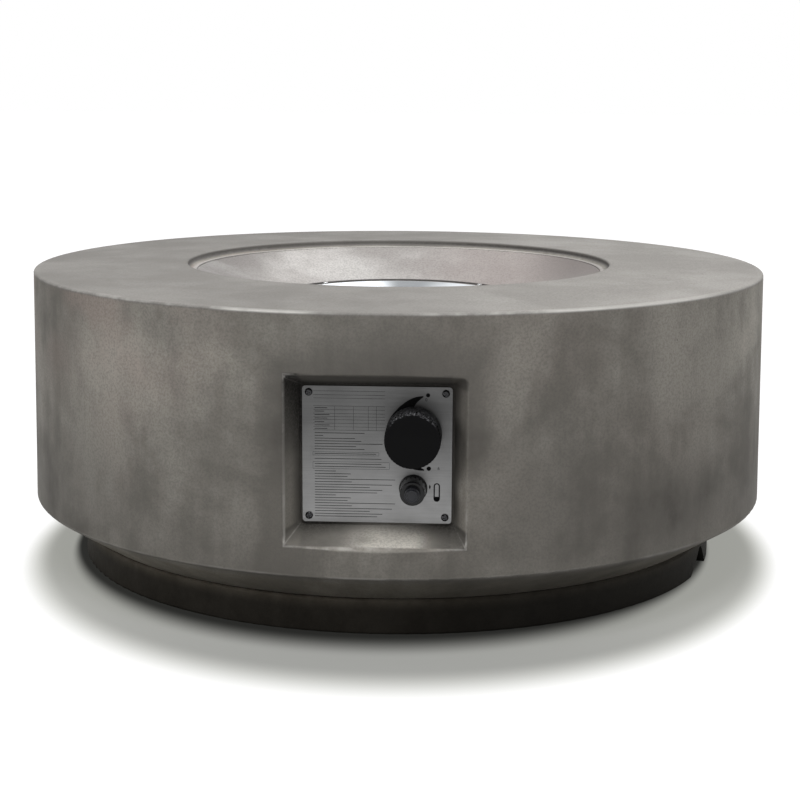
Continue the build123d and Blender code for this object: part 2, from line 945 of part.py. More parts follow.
def spark_wire():
    x, y = electrode_place(1)
    low = pan_floor_z + ceramic_top
    high = low + spark_wire_rise
    points = [(x, y, low), (x, y, high), (x, y + spark_wire_reach, high + spark_wire_rise / 4)]
    return bent_tube(points, spark_wire_radius, 2.0 * spark_wire_radius)


def thermocouple():
    x, y = electrode_place(-1)
    low, high = pan_floor_z - thermo_tail, pan_floor_z + thermo_top
    body = turned(
        [
            (0, low),
            (thermo_radius, low),
            (thermo_radius, high - 8.0),
            (thermo_radius * 0.7, high - 6.0),
            (thermo_radius * 0.7, high),
            (0, high),
        ],
        [((thermo_radius * 0.7, high), thermo_radius * 0.5)],
    )
    return Pos(x, y) * body


# Gas inlet in the plinth's notch

def inlet_frame(radius, height):
    """A plane whose normal looks out through the notch."""
    out = direction(notch_azimuth)
    return Plane(origin=out * radius + Vector(0, 0, height), x_dir=Vector(0, 0, 1).cross(out), z_dir=out)


def inlet_screw_places():
    out = direction(notch_azimuth)
    side = Vector(0, 0, 1).cross(out)
    spots = [out * bolt_circle + side * (s * inlet_bracket_width / 3.4) for s in (-1, 1)]
    return [Pos(spot.X, spot.Y, 0) for spot in spots]


def inlet_bracket():
    """An angle strip: a tab on the drum's foot and a leg that carries the inlet fitting."""
    sheet, half = inlet_bracket_sheet, inlet_bracket_width / 2
    tab_end = bolt_circle + washer_radius
    top = land_z + sheet
    low = inlet_z - inlet_shank_radius - inlet_bracket_edge
    side_view = make_face(
        Polyline(
            (inlet_bracket_radius, low),
            (inlet_bracket_radius, top),
            (tab_end, top),
            (tab_end, land_z),
            (inlet_bracket_radius + sheet, land_z),
            (inlet_bracket_radius + sheet, low),
            close=True,
        )
    )
    strip = Pos(0, half, 0) * extrude(Plane.XZ * side_view, 2 * half)
    strip -= Pos(0, 0, inlet_z) * Rot(0, 90, 0) * rod(inlet_shank_radius + hole_play, 0, drum_radius)
    strip = Rot(0, 0, notch_azimuth - 90) * strip
    for place in inlet_screw_places():
        strip -= place * rod(screw_radius + hole_play, land_z - 1, top + 1)
    return strip


def inlet_screws():
    screw = pan_head_screw(
        screw_radius, screw_head_radius, screw_head_height, inlet_bracket_sheet + screw_bite - 1
    )
    return [place * Pos(0, 0, land_z + inlet_bracket_sheet) * screw for place in inlet_screw_places()]


def inlet_fitting():
    """A bulkhead union: a flare stub inside, a hexagon, and the outer thread for the gas hose."""
    sheet = inlet_bracket_sheet
    shank_end = sheet + inlet_nut_length
    thread_start = shank_end + inlet_relief
    thread_end = thread_start + inlet_thread_length
    body = hexagon(inlet_hex_width, -inlet_hex_length, 0)
    body += rod(inlet_shank_radius, 0, shank_end)
    body += rod(inlet_thread_radius - inlet_relief / 2, 0, thread_start)
    body += rod(inlet_thread_radius, thread_start, thread_end)
    body += rod(stub_radius, -inlet_hex_length - stub_length, 0)
    body -= rod(tube_radius - 1, -inlet_hex_length - stub_length - 1, thread_end + 1)
    return inlet_frame(inlet_bracket_radius, inlet_z).location * body


def inlet_lock_nut():
    sheet = inlet_bracket_sheet
    nut = hexagon(inlet_hex_width, sheet, sheet + inlet_nut_length)
    nut -= rod(inlet_shank_radius + fit_play, 0, sheet + inlet_nut_length + 1)
    return inlet_frame(inlet_bracket_radius, inlet_z).location * nut


# Tubes and leads inside the drum

def flare_nut():
    """A flare nut on a stub that stands along +Z from zero."""
    nut = hexagon(nut_width, nut_start, nut_start + nut_length)
    nut -= rod(stub_radius + fit_play, 0, stub_length)
    nut -= rod(tube_radius + fit_play, 0, nut_start + nut_length + 1)
    return nut


def outlet_port():
    """The seat of a flare nut on the valve's burner side, looking -X."""
    return Plane(
        origin=panel_point(knob_x - port_reach, knob_z, port_out), x_dir=(0, 1, 0), z_dir=(-1, 0, 0)
    )


def inlet_port():
    """The seat of a flare nut on the valve's supply side, looking +X."""
    return Plane(
        origin=panel_point(knob_x + port_reach, knob_z, port_out), x_dir=(0, 1, 0), z_dir=(1, 0, 0)
    )


def injector_port():
    """The seat of a flare nut under the injector, looking down."""
    return Plane(origin=(0, 0, injector_foot), x_dir=(1, 0, 0), z_dir=(0, 0, -1))


def supply_port():
    """The seat of a flare nut on the inlet fitting's inner end, looking inwards."""
    inner = inlet_frame(inlet_bracket_radius - inlet_hex_length, inlet_z)
    return Plane(origin=inner.origin, x_dir=inner.x_dir, z_dir=-inner.z_dir)


def flare_nuts():
    ports = [outlet_port(), inlet_port(), injector_port(), supply_port()]
    return [place.location * flare_nut() for place in ports]


def ahead(place, length):
    """A point in front of a port."""
    return place.origin + place.z_dir * length


def inside(x, y, z):
    """A point under the deck, in shares of the drum's radius and of its height."""
    return Vector(x * drum_radius, y * drum_radius, z * deck_edge_z)


def burner_tube_run():
    start, end = outlet_port(), injector_port()
    points = [
        ahead(start, stub_length),
        ahead(start, outlet_run),
        inside(-0.177, -0.567, 0.499),
        inside(-0.099, -0.271, 0.281),
        ahead(end, injector_run),
        ahead(end, stub_length),
    ]
    return bent_tube(points, tube_radius, tube_bend)


def supply_tube_run():
    start, end = inlet_port(), supply_port()
    points = [
        ahead(start, stub_length),
        ahead(start, supply_run),
        inside(0.406, -0.645, 0.406),
        inside(0.414, -0.369, 0.140),
        ahead(end, supply_run),
        ahead(end, stub_length),
    ]
    return bent_tube(points, tube_radius, tube_bend)


def spark_lead():
    x, y = electrode_place(1)
    foot = pan_floor_z - ceramic_tail
    start = panel_point(igniter_x, igniter_z, -barrel_length - terminal_length)
    points = [
        start,
        start + Vector(0, lead_run, 0),
        inside(0.074, -0.468, 0.537),
        Vector(x, y, foot - lead_rise),
        Vector(x, y, foot),
    ]
    return bent_tube(points, lead_radius, lead_bend)


def thermocouple_lead():
    x, y = electrode_place(-1)
    foot = pan_floor_z - thermo_tail
    start = panel_point(knob_x, knob_z, valve_back)
    points = [
        start,
        start + Vector(0, capillary_run, 0),
        inside(-0.010, -0.419, 0.640),
        Vector(x, y, foot - capillary_rise),
        Vector(x, y, foot),
    ]
    return bent_tube(points, capillary_radius, capillary_bend)


nodes = {
    "drum_casting": drum_casting,
    "fire_bowl": fire_bowl,
    "plinth_ring": plinth_ring,
    "mortar_bed": mortar_bed,
    "plinth_bolts": lambda: around(plinth_bolt(), bolt_count, bolt_azimuth),
    "plinth_washers": lambda: around(plinth_washer(), bolt_count, bolt_azimuth),
    "plinth_inserts": lambda: around(plinth_insert(), bolt_count, bolt_azimuth),
    "control_plate": control_plate,
    "plate_gasket": plate_gasket,
    "plate_screws": plate_screws,
    "plate_inserts": plate_inserts,
    "valve_screws": valve_screws,
    "valve_bonnet": valve_bonnet,
    "valve_body": valve_body,
    "valve_plug": valve_plug,
    "valve_stem": valve_stem,
    "valve_spring": valve_spring,
    "push_rod": push_rod,
    "safety_magnet": safety_magnet,
    "magnet_nut": magnet_nut,
    "control_knob": control_knob,
    "knob_clip": knob_clip,
    "igniter_body": igniter_body,
    "igniter_nut": igniter_nut,
    "igniter_cell": igniter_cell,
    "igniter_cap": igniter_cap,
    "igniter_button": igniter_button,
    "igniter_spring": igniter_spring,
    "burner_pan": burner_pan,
    "pan_screws": pan_screws,
    "burner_ring": burner_ring,
    "burner_nipple": burner_nipple,
    "burner_lock_nut": burner_lock_nut,
    "air_mixer": air_mixer,
    "injector": injector,
    "electrode_bracket": electrode_bracket,
    "bracket_screws": bracket_screws,
    "spark_ceramic": spark_ceramic,
    "spark_wire": spark_wire,
    "thermocouple": thermocouple,
    "inlet_bracket": inlet_bracket,
    "inlet_screws": inlet_screws,
    "inlet_fitting": inlet_fitting,
    "inlet_lock_nut": inlet_lock_nut,
    "flare_nuts": flare_nuts,
    "burner_tube": burner_tube_run,
    "supply_tube": supply_tube_run,
    "spark_lead": spark_lead,
    "thermocouple_lead": thermocouple_lead,
}

os.makedirs("parts", exist_ok=True)
for name, make in nodes.items():
    save(name, make())
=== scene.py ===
import json
import math

import bmesh
import bpy
from mathutils import Matrix, Vector


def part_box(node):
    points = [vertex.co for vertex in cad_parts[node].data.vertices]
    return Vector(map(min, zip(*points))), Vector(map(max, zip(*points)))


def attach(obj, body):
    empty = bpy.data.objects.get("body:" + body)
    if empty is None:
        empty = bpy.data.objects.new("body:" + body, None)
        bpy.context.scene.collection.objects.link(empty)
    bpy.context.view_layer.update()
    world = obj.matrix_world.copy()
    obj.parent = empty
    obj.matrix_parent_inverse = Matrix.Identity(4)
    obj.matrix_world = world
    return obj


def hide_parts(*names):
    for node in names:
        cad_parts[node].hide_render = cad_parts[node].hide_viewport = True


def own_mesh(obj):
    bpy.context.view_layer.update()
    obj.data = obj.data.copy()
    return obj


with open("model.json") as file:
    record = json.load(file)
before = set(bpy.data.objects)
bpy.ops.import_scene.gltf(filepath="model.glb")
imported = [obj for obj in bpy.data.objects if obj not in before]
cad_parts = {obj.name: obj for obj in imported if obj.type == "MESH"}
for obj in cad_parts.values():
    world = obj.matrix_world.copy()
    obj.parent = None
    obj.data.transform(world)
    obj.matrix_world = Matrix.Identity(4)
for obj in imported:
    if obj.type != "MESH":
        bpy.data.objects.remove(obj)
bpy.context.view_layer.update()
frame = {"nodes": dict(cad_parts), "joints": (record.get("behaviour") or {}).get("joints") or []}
nodes = frame["nodes"]
joints = {joint["name"]: joint for joint in frame["joints"]}
scene = bpy.context.scene

# Places that the scene shares with the solids, in metres
PLATE_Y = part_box("control_plate")[0].y
PLATE_Z = 0.181
KNOB_X, _, KNOB_Z = joints["knob_turn"]["pos_m"]
DIAL_X, DIAL_Z = KNOB_X, PLATE_Z + 0.0225
DRUM_RADIUS, LIP_RADIUS, SEAT_RADIUS = 0.406, 0.2375, 0.134
DECK_Z, RIM_Z, LEDGE_Z, SEAT_Z = 0.3205, 0.3192, 0.3163, 0.2860
HEM_Z, SIDE_FOOT_Z, CHAMFER_Z = 0.0718, 0.0715, 0.066


# Helpers for node trees

class Nodes:
    """Adds nodes to one tree; the helpers return output sockets."""

    def __init__(self, tree):
        self.tree = tree

    def new(self, kind, **settings):
        node = self.tree.nodes.new(kind)
        for key, value in settings.items():
            setattr(node, key, value)
        return node

    def link(self, source, target):
        """Links a socket, or sets a plain value."""
        if isinstance(source, bpy.types.NodeSocket):
            self.tree.links.new(source, target)
        else:
            target.default_value = source

    def math(self, op, a, b=0.0):
        node = self.new("ShaderNodeMath", operation=op)
        self.link(a, node.inputs[0])
        self.link(b, node.inputs[1])
        return node.outputs[0]

    def plus(self, a, b):
        return self.math("ADD", a, b)

    def minus(self, a, b):
        return self.math("SUBTRACT", a, b)

    def larger(self, a, b):
        return self.math("MAXIMUM", a, b)

    def absolute(self, a):
        return self.math("ABSOLUTE", a)

    def product(self, first, *others):
        for other in others:
            first = self.math("MULTIPLY", first, other)
        return first

    def changed(self, *factors):
        """One plus a product: a factor that brightens or darkens."""
        return self.plus(1.0, self.product(*factors))

    def length(self, u, v):
        return self.math("SQRT", self.plus(self.product(u, u), self.product(v, v)))

    def offset(self, value, middle, reach):
        return self.math("DIVIDE", self.minus(value, middle), reach)

    def split(self, vector):
        node = self.new("ShaderNodeSeparateXYZ")
        self.link(vector, node.inputs[0])
        return node.outputs

    def ramp(self, value, low, high, to_low=0.0, to_high=1.0, linear=False):
        """Leads one range over to another, smoothly unless it is linear."""
        if low > high:
            low, high, to_low, to_high = high, low, to_high, to_low
        kind = "LINEAR" if linear else "SMOOTHSTEP"
        node = self.new("ShaderNodeMapRange", interpolation_type=kind)
        self.link(value, node.inputs["Value"])
        for key, number in (("From Min", low), ("From Max", high), ("To Min", to_low), ("To Max", to_high)):
            node.inputs[key].default_value = number
        return node.outputs["Result"]


class Material(Nodes):
    """The nodes of one new material, which is laid out by place in the frame."""

    def __init__(self, name):
        self.mat = bpy.data.materials.new(name)
        self.mat.use_nodes = True
        super().__init__(self.mat.node_tree)
        self.bsdf = self.tree.nodes["Principled BSDF"]
        self.place = self.new("ShaderNodeTexCoord").outputs["Object"]

    def axes(self):
        return self.split(self.place)

    def scaled(self, x, y, z):
        node = self.new("ShaderNodeVectorMath", operation="MULTIPLY")
        self.link(self.place, node.inputs[0])
        node.inputs[1].default_value = (x, y, z)
        return node.outputs[0]

    def noise(self, scale, detail=4.0, rough=0.55, vector=None, distortion=0.0):
        node = self.new("ShaderNodeTexNoise")
        self.link(vector or self.place, node.inputs["Vector"])
        node.inputs["Scale"].default_value = scale
        node.inputs["Detail"].default_value = detail
        node.inputs["Roughness"].default_value = rough
        node.inputs["Distortion"].default_value = distortion
        return node.outputs["Fac"]

    def cells(self, scale):
        node = self.new("ShaderNodeTexVoronoi")
        self.link(self.place, node.inputs["Vector"])
        node.inputs["Scale"].default_value = scale
        return node.outputs["Distance"]

    def paint(self, colour, target):
        """Links a colour, or sets three numbers."""
        self.link(colour if isinstance(colour, bpy.types.NodeSocket) else (*colour, 1.0), target)

    def mix(self, fac, a, b, blend="MIX"):
        node = self.new("ShaderNodeMix", data_type="RGBA", blend_type=blend)
        self.link(fac, node.inputs["Factor"])
        self.paint(a, node.inputs["A"])
        self.paint(b, node.inputs["B"])
        return node.outputs["Result"]

    def times(self, a, b):
        return self.mix(1.0, a, b, "MULTIPLY")

    def grey(self, value):
        node = self.new("ShaderNodeCombineColor")
        for socket in node.inputs:
            self.link(value, socket)
        return node.outputs[0]

    def band(self, value, middle, reach):
        """One where a value meets the middle, fading to zero over a reach."""
        return self.ramp(self.absolute(self.minus(value, middle)), 0.0, reach, 1.0, 0.0)

    def ring(self, radius, height, ring_radius, ring_z, reach):
        """One on a circle around the drum's axis, fading to zero over a reach."""
        far = self.length(self.minus(radius, ring_radius), self.minus(height, ring_z))
        return self.ramp(far, 0.0, reach, 1.0, 0.0)

    def blot(self, u, v, centre, reach):
        """One at a centre, fading to zero on an ellipse around it."""
        far = self.length(self.offset(u, centre[0], reach[0]), self.offset(v, centre[1], reach[1]))
        return self.ramp(far, 0.0, 1.0, 1.0, 0.0)

    def edge(self, size):
        """How sharp an edge is, from the angle between the bevelled and the true normal."""
        bevel = self.new("ShaderNodeBevel", samples=6)
        bevel.inputs["Radius"].default_value = size
        dot = self.new("ShaderNodeVectorMath", operation="DOT_PRODUCT")
        self.link(bevel.outputs[0], dot.inputs[0])
        self.link(self.new("ShaderNodeNewGeometry").outputs["Normal"], dot.inputs[1])
        return self.minus(1.0, dot.outputs["Value"])

    def bump(self, height, strength, distance):
        node = self.new("ShaderNodeBump")
        node.inputs["Strength"].default_value = strength
        node.inputs["Distance"].default_value = distance
        self.link(height, node.inputs["Height"])
        self.link(node.outputs["Normal"], self.bsdf.inputs["Normal"])

    def finish(self, colour, rough, metal=0.0, specular=0.5):
        self.paint(colour, self.bsdf.inputs["Base Color"])
        self.link(rough, self.bsdf.inputs["Roughness"])
        self.bsdf.inputs["Metallic"].default_value = metal
        self.bsdf.inputs["Specular IOR Level"].default_value = specular
        return self.mat


# The drum's concrete

class Recess:
    """Where a point lies in the control recess: masks from zero to one."""

    HALF_WIDTH, HALF_HEIGHT = 0.085, 0.0815
    FLOOR_HALF_WIDTH, FLOOR_HALF_HEIGHT = 0.073, 0.068
    FLOOR_Y, CORNER_Y, MOUTH_Y = -0.366, -0.4015, -0.406
    BACK_Y, FRONT_Y = -0.335, -0.345

    def __init__(self, t, x, y, z):
        across, lift = t.absolute(x), t.minus(z, PLATE_Z)
        up = t.absolute(lift)
        front = t.ramp(y, self.FRONT_Y, self.BACK_Y, 1.0, 0.0)
        beyond = t.larger(t.minus(across, self.HALF_WIDTH), t.minus(up, self.HALF_HEIGHT))
        pocket = t.product(t.ramp(beyond, 0.0, 0.002, 1.0, 0.0), front)
        self.inside = t.product(pocket, t.ramp(y, self.CORNER_Y - 0.003, self.CORNER_Y))
        self.deep = t.ramp(y, self.FLOOR_Y - 0.020, self.FLOOR_Y - 0.001)
        self.sill = t.product(self.inside, t.ramp(lift, -self.FLOOR_HALF_HEIGHT, -0.064, 1.0, 0.0))
        self.around = t.product(t.ramp(beyond, 0.0, 0.040, 1.0, 0.0), front)
        self.left = t.ramp(x, -0.080, -0.070, 1.0, 0.0)

        # The mouth's edge and the corners between the walls are paler, partly wear and partly painted
        # highlight, most of all low down and at the left
        edge = t.ramp(t.absolute(beyond), 0.0003, 0.0015, 1.0, 0.0)
        wide = t.ramp(y, self.FLOOR_Y, self.CORNER_Y, self.FLOOR_HALF_WIDTH, self.HALF_WIDTH, linear=True)
        high = t.ramp(y, self.FLOOR_Y, self.MOUTH_Y, self.FLOOR_HALF_HEIGHT, self.HALF_HEIGHT, linear=True)
        near = t.larger(t.absolute(t.minus(across, wide)), t.absolute(t.minus(up, high)))
        corner_highlight = t.product(t.ramp(near, 0.0004, 0.0022, 1.0, 0.0), self.inside)
        weight = t.larger(t.ramp(lift, -0.05, 0.04, 1.0, 0.12), t.product(self.left, 0.55))
        self.worn_and_highlit = t.product(t.larger(edge, corner_highlight), weight, front)


class DrumPlace:
    """Where a point lies on the drum: its axes, its radius, and masks from zero to one."""

    def __init__(self, t):
        self.x, y, self.z = t.axes()
        self.r = t.length(self.x, y)
        self.recess = Recess(t, self.x, y, self.z)
        self.deck = t.ramp(self.z, 0.316, 0.3195)
        self.side = t.minus(1.0, self.deck)


# Painted light and shade on the side, as broad paler and darker areas: centre and reach in x and z, and the
# change of brightness
PAINTED_SIDE_SHADING = (
    ((-0.25, 0.25), (0.13, 0.11), 0.32),
    ((-0.13, 0.27), (0.08, 0.06), 0.38),
    ((-0.18, 0.15), (0.11, 0.11), 0.25),
    ((0.39, 0.27), (0.07, 0.08), 0.46),
    ((0.02, 0.29), (0.13, 0.05), -0.40),
    ((0.17, 0.14), (0.10, 0.11), -0.24),
    ((0.29, 0.11), (0.12, 0.07), -0.44),
    ((0.40, 0.10), (0.06, 0.08), -0.30),
    ((-0.36, 0.10), (0.10, 0.09), -0.28),
    ((-0.35, 0.27), (0.07, 0.07), -0.28),
)
SILL_LIGHT_X = 0.018


def stained(t, at, tone):
    """Cloudy grey, with a rosy stain on the side."""
    mid_grey, rosy = (0.5, 0.5, 0.5), (0.365, 0.310, 0.290)
    mottle = t.mix(t.product(at.deck, 0.7), t.grey(t.ramp(tone, 0.42, 0.60)), mid_grey)
    colour = t.mix(mottle, (0.215, 0.205, 0.190), (0.398, 0.381, 0.357))
    stain = t.product(t.ramp(t.noise(3.1, 3.0, 0.5), 0.52, 0.72), t.ramp(at.x, -0.42, 0.1, 0.75, 0.2))
    flush = t.product(t.ramp(at.z, 0.18, 0.29), t.ramp(at.x, -0.24, -0.10, 1.0, 0.0),
                      t.ramp(t.noise(9.0, 3.0, 0.5), 0.38, 0.6))
    return t.mix(t.product(t.larger(stain, flush), at.side, 0.7), colour, rosy)


def painted_light_and_shade(t, at, colour):
    """Painted light and shade: darker towards the foot and over the controls, the chamfer under the side
    paler to the left and darker to the right; the deck is painted paler to the right.
    """
    x, z, recess = at.x, at.z, at.recess
    # Painted shade on the chamfer, darker to the right; painted light below the controls and painted shade
    # above them
    chamfer_shade = t.product(t.ramp(z, CHAMFER_Z, SIDE_FOOT_Z, 1.0, 0.0), t.ramp(x, -0.20, 0.16, 0.6, -0.28))
    light_and_shade_round_controls = t.ramp(z, PLATE_Z - 0.055, PLATE_Z + 0.035, 0.25, -0.45)
    shade = t.product(t.ramp(z, CHAMFER_Z, 0.30, 0.72, 1.0), t.changed(chamfer_shade),
                      t.changed(recess.around, light_and_shade_round_controls),
                      t.changed(at.deck, t.ramp(x, 0.0, 0.2, -0.19, 0.07)))
    for centre, reach, change in PAINTED_SIDE_SHADING:
        shade = t.product(shade, t.changed(t.blot(x, z, centre, reach), at.side, change))

    # The recess, all painted light and shade: a sill that is palest below the controls, dark corners, and
    # walls that darken upwards
    across = t.absolute(t.minus(x, SILL_LIGHT_X))
    sill = t.product(t.ramp(across, 0.018, 0.062, 1.0, 0.50), t.ramp(x, 0.035, 0.060, 1.0, 0.55))
    shade = t.mix(recess.sill, t.grey(shade), t.grey(sill))
    # Painted shade on the walls and in the deep corners of the recess
    head = t.product(recess.inside, t.ramp(z, PLATE_Z + 0.064, PLATE_Z + 0.070))
    right_wall = t.product(recess.inside, t.ramp(x, 0.068, 0.073))
    left_wall = t.product(recess.inside, t.ramp(x, -0.073, -0.068, 1.0, 0.0))
    climb = t.ramp(z, PLATE_Z - 0.030, PLATE_Z + 0.065, 0.35, -0.75)
    painted_wall_shade = t.product(t.ramp(head, 0.0, 1.0, 1.0, 0.66),
                      t.changed(recess.inside, recess.deep, -0.55),
                      t.ramp(right_wall, 0.0, 1.0, 1.0, 1.35),
                      t.changed(left_wall, climb))
    # Painted light: a pale, patchy pool on the sill below the controls
    painted_sill_light = t.product(recess.sill, t.ramp(across, 0.012, 0.070, 0.95, 0.0),
                     t.ramp(x, 0.035, 0.055, 1.0, 0.3), t.ramp(t.noise(22.0, 2.0, 0.5), 0.10, 0.46))
    colour = t.mix(painted_sill_light, colour, (0.60, 0.58, 0.55))
    colour = t.times(t.times(colour, shade), t.grey(painted_wall_shade))
    # Painted shade tint: the side is warmed, most of all on the chamfer
    shade_warmth = t.mix(t.ramp(z, 0.060, SIDE_FOOT_Z), (1.0, 0.955, 0.85), (1.0, 0.985, 0.935))
    return t.mix(at.side, colour, t.times(colour, shade_warmth))


def dished(t, at, colour):
    """A dish that is paler, partly its own cast and partly painted light, and warmer to the right; painted
    shade at its ends, a painted highlight on the ledge and painted shadows in the cove and round the seat.
    """
    x, z, r = at.x, at.z, at.r
    dish = t.product(t.ramp(r, LIP_RADIUS - 0.010, LIP_RADIUS - 0.005, 1.0, 0.0), t.ramp(z, 0.26, 0.28))
    # The dish is paler: partly its own cast and partly painted light on its far wall
    bowl = t.mix(t.ramp(t.noise(7.0, 4.0, 0.55), 0.4, 0.66), (0.40, 0.375, 0.36), (0.62, 0.60, 0.58))
    bowl = t.mix(t.ramp(x, -0.02, 0.10, 0.0, 0.75), bowl, (0.37, 0.323, 0.307))
    # Painted shade and light: the dish darker at its ends, with a paler band left of the middle
    dish_shading = t.product(t.ramp(x, -0.21, -0.14, 0.70, 1.0), t.ramp(x, 0.13, 0.21, 1.0, 0.58),
                     t.ramp(t.band(x, -0.115, 0.07), 0.0, 1.0, 1.0, 1.14))
    colour = t.mix(dish, colour, t.times(bowl, t.grey(dish_shading)))
    # Painted highlight: a bright line along the ledge, fading towards its ends
    ledge_highlight = t.product(t.ring(r, z, LIP_RADIUS - 0.0075, LEDGE_Z, 0.0045),
                      t.ramp(t.absolute(x), 0.11, 0.20, 0.85, 0.40))
    colour = t.mix(ledge_highlight, colour, (0.80, 0.77, 0.74))
    # Painted shadow: a dark band in the cove under the lip, darkest to the right
    cove_shadow = t.product(t.ring(r, z, LIP_RADIUS - 0.0002, DECK_Z, 0.0052), t.ramp(x, -0.05, 0.14, 0.72, 1.0))
    colour = t.mix(cove_shadow, colour, (0.055, 0.051, 0.047))
    # Painted shadow: a dark line in the gap round the pan's seat
    seat_shadow = t.product(t.ring(r, z, SEAT_RADIUS, SEAT_Z, 0.0026), 0.9)
    return t.mix(seat_shadow, colour, (0.04, 0.037, 0.034))


def weathered_and_highlit(t, at, colour):
    """Sandy grain and pits; pale recess edges, partly wear and partly painted highlight; painted highlights
    along the rim and the hem; the grain and the pits are bumps too.
    """
    off_centre = t.absolute(at.x)
    grain = t.noise(430.0, 3.0, 0.7)
    colour = t.mix(t.product(t.ramp(grain, 0.40, 0.66), 0.37), colour, (0.15, 0.14, 0.13))
    pits = t.product(t.ramp(t.cells(160.0), 0.05, 0.13, 1.0, 0.0), t.ramp(t.noise(30.0, 2.0), 0.57, 0.70))
    colour = t.mix(t.product(pits, 0.6), colour, (0.09, 0.085, 0.08))
    # Pale recess edges: partly wear and partly painted highlight
    broken = t.larger(t.ramp(t.noise(38.0, 4.0, 0.6), 0.38, 0.64), t.product(at.recess.left, 0.7))
    colour = t.mix(t.product(at.recess.worn_and_highlit, broken, 0.8), colour, (0.52, 0.50, 0.47))
    # Painted highlight: a pale line along the rim, broken up by noise and faded at the far ends
    outside = t.ramp(at.r, 0.398, 0.401)
    patchy = t.larger(t.ramp(t.noise(11.0, 4.0, 0.6), 0.44, 0.62), t.ramp(at.x, 0.10, 0.22, 0.0, 0.85))
    rim_highlight = t.product(t.band(at.z, RIM_Z, 0.0022), outside, patchy, t.ramp(off_centre, 0.02, 0.09),
                    t.ramp(off_centre, 0.29, 0.36, 1.0, 0.15))
    colour = t.mix(t.product(rim_highlight, 0.85), colour, (0.70, 0.68, 0.645))
    # Painted highlight: a pale line along the side's lower edge
    hem_highlight = t.product(t.band(at.z, HEM_Z, 0.0022), outside, t.ramp(t.noise(16.0, 3.0), 0.3, 0.65))
    colour = t.mix(t.product(hem_highlight, 0.5), colour, (0.42, 0.40, 0.38))
    height = t.plus(t.product(grain, 0.25), t.product(t.noise(120.0, 4.0, 0.6), 0.6))
    t.bump(t.minus(height, t.product(pits, 1.2)), 0.35, 0.0012)
    return colour


def concrete():
    t = Material("cast_concrete")
    at = DrumPlace(t)
    cloud = t.noise(5.5, 6.0, 0.6, distortion=0.4)
    patch = t.noise(17.0, 5.0, 0.6)
    streak = t.noise(1.0, 4.0, 0.55, t.scaled(16, 16, 2.2))
    tone = t.plus(t.plus(t.product(cloud, 0.50), t.product(patch, 0.22)), t.product(streak, 0.28))
    colour = painted_light_and_shade(t, at, stained(t, at, tone))
    colour = weathered_and_highlit(t, at, dished(t, at, colour))
    return t.finish(colour, t.ramp(tone, 0.3, 0.7, 0.82, 0.66), specular=0.3)


# The other materials

def dark_concrete(name, low, high):
    """Mottled concrete with chipped edges; painted shade makes it darker at its foot and to the right."""
    t = Material(name)
    x, _, z = t.axes()
    tone = t.plus(t.product(t.noise(9.0, 6.0, 0.6), 0.6), t.product(t.noise(55.0, 5.0, 0.6), 0.4))
    colour = t.mix(t.ramp(tone, 0.36, 0.66), low, high)
    grain = t.noise(600.0, 3.0, 0.7)
    colour = t.mix(t.product(t.ramp(grain, 0.55, 0.75), 0.25), colour, (0.24, 0.22, 0.19))
    chip = t.product(t.ramp(t.edge(0.003), 0.03, 0.25), t.ramp(t.noise(38.0, 4.0, 0.7), 0.5, 0.66))
    colour = t.mix(t.product(chip, 0.6), colour, (0.34, 0.31, 0.27))
    # Painted shade: darker towards the foot and to the right
    foot = t.product(t.ramp(z, 0.022, 0.048, 0.17, 1.0), t.ramp(x, -0.05, 0.20, 1.0, 0.36))
    t.bump(t.plus(t.product(grain, 0.3), t.noise(70.0, 5.0, 0.6)), 0.4, 0.0016)
    return t.finish(t.times(colour, t.grey(foot)), 0.8, specular=0.2)


def brushed_steel(name, colour, rough, along, depth=0.06, spread=0.075, shade_heights=None):
    """Satin sheet steel with fine lines.

    along is the noise scale on each axis, small along the lines. If shade_heights gives two heights,
    painted shade darkens the steel from the first to the second.
    """
    t = Material(name)
    lines = t.noise(1.0, 3.0, 0.6, t.scaled(*along))
    cloud = t.noise(38.0, 3.0, 0.5)
    tint = t.mix(t.product(lines, 0.5), colour, tuple(0.78 * c for c in colour))
    tint = t.mix(t.product(t.ramp(cloud, 0.4, 0.7), 0.18), tint, tuple(0.7 * c for c in colour))
    # Painted shade: the steel darkens between the two heights
    if shade_heights:
        _, _, z = t.axes()
        tint = t.times(tint, t.grey(t.ramp(z, *shade_heights, 1.0, 0.46)))
    t.bump(lines, depth, 0.0004)
    sheen = t.plus(t.product(lines, 0.6), t.product(cloud, 0.4))
    return t.finish(tint, t.ramp(sheen, 0.3, 0.7, rough - spread, rough + spread), metal=1.0)


def turned_metal(name, colour, rough, metal=1.0, stain=(0.2, 0.17, 0.12)):
    """Machined or drawn metal with cloudy stains."""
    t = Material(name)
    cloud = t.noise(90.0, 4.0, 0.6)
    tint = t.mix(t.product(t.ramp(cloud, 0.45, 0.75), 0.35), colour, stain)
    t.bump(t.noise(900.0, 2.0, 0.6), 0.08, 0.0003)
    return t.finish(tint, t.ramp(cloud, 0.3, 0.7, rough - 0.06, rough + 0.1), metal)


def moulded_plastic(name, colour, rough, grain_scale=1500.0, depth=0.05, specular=0.5):
    """Plain moulded surface with a fine grain and edges that are a little scuffed."""
    t = Material(name)
    scuff_and_glint = t.product(t.ramp(t.edge(0.0006), 0.03, 0.3), t.ramp(t.noise(300.0, 3.0), 0.4, 0.65))
    tint = t.mix(t.product(scuff_and_glint, 0.5), colour, tuple(c + 0.03 for c in colour))
    t.bump(t.noise(grain_scale, 2.0, 0.6), depth, 0.0003)
    cloud = t.noise(60.0, 3.0, 0.5)
    return t.finish(tint, t.ramp(cloud, 0.3, 0.7, rough - 0.05, rough + 0.07), specular=specular)


